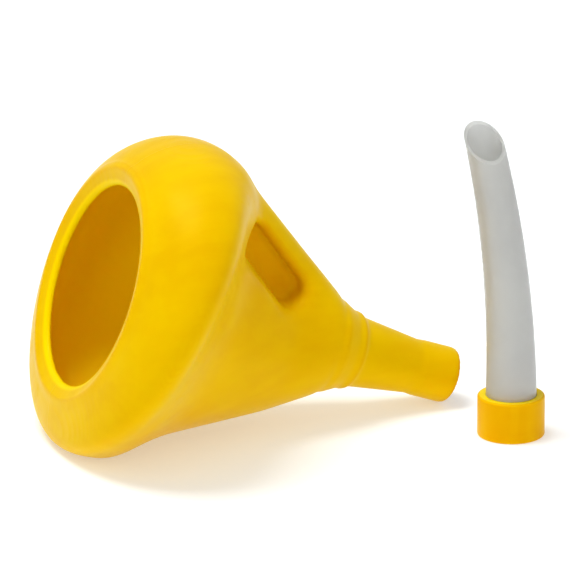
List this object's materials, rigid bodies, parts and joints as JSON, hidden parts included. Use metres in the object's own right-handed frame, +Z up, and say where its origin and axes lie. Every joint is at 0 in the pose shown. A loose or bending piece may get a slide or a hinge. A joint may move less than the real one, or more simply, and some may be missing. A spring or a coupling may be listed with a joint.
{
  "type": "funnel",
  "caption": "Handheld fluid funnel with a rolled anti-splash rim and grip pockets, lying beside its curved push-on extension spout.",
  "frame": {"origin": "on the table, under the middle of the bounding box of the funnel and the extension spout together", "axes": "+Z is up from the table, +X runs from the funnel's mouth towards its spout, and Y is across the funnel, whose grip and axis lie in the plane Y = 0; the extension spout stands on the -Y side"},
  "size_m": [0.2715, 0.2, 0.1809],
  "materials": {
    "yellow_polyethylene": "semi-gloss moulded polyethylene",
    "collar_polyethylene": "smooth moulded polyethylene",
    "natural_polyethylene": "milky translucent polyethylene"
  },
  "bodies": {
    "funnel": {"funnel_body": "yellow_polyethylene"},
    "collar": {"extension_collar": "collar_polyethylene"},
    "tube": {"extension_tube": "natural_polyethylene"}
  },
  "joints": [
    {"name": "extension_lift", "type": "slide", "parent": "funnel", "child": "collar", "axis": [0, 0, 1], "range_m": [0, 0.15]},
    {"name": "tube_swivel", "type": "hinge", "parent": "collar", "child": "tube", "pos_m": [0.11704, -0.0655, 0.02], "axis": [0, 0, 1], "continuous": true}
  ]
}
